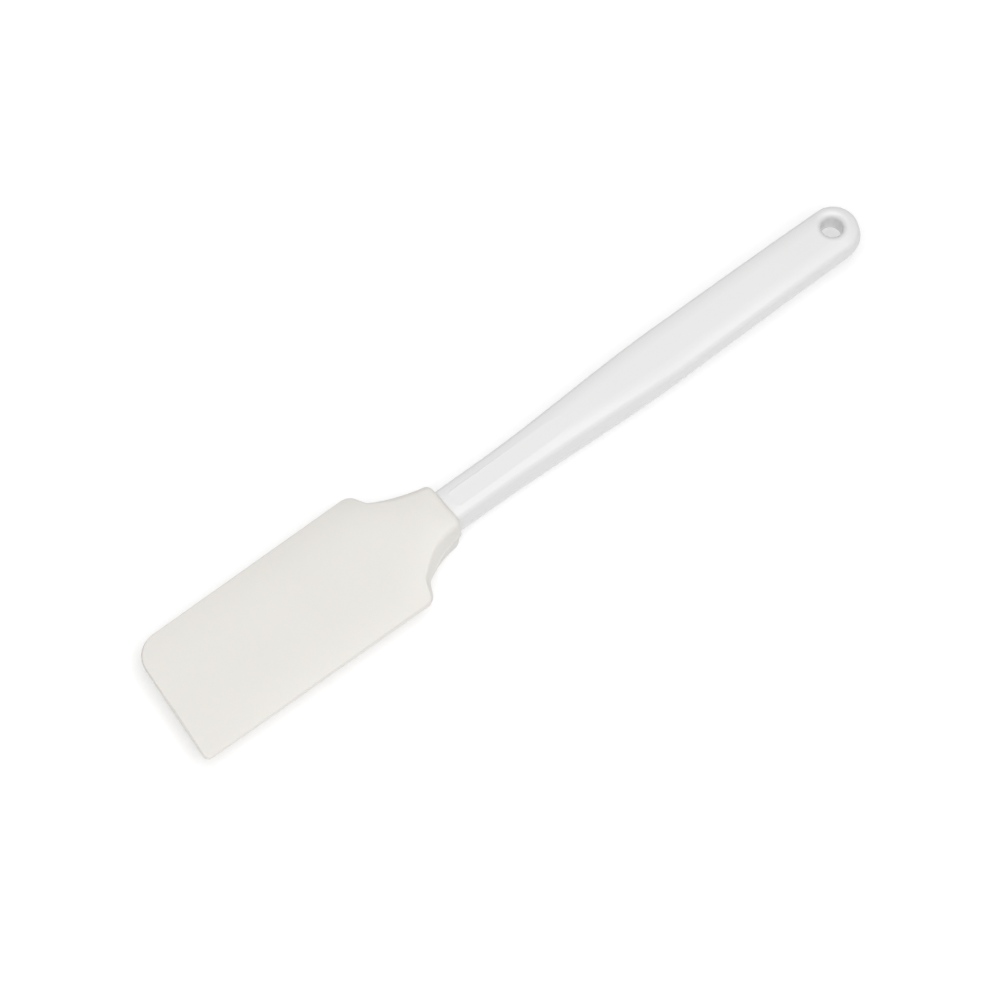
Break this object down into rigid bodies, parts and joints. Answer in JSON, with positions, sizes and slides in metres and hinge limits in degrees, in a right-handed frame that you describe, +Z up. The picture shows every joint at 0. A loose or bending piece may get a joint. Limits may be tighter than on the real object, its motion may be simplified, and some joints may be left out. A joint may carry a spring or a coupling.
{
  "type": "silicone spatula",
  "caption": "Long kitchen spatula with a flat silicone blade, one rounded and one square corner, pushed over the tang of a moulded handle with a hanging hole.",
  "frame": {"origin": "middle of the length and width, on the surface that the spatula lies on", "axes": "+X from the blade's tip to the hanging hole, +Y to the blade's rounded corner, +Z up"},
  "size_m": [0.305, 0.0492, 0.0204],
  "materials": {
    "silicone": "matte",
    "handle_plastic": "gloss"
  },
  "bodies": {
    "handle": {"handle": "handle_plastic"},
    "blade": {"silicone_blade": "silicone"}
  },
  "joints": [
    {"name": "blade_pull", "type": "slide", "parent": "handle", "child": "blade", "axis": [-1, 0, 0], "range_m": [0, 0.045]}
  ]
}
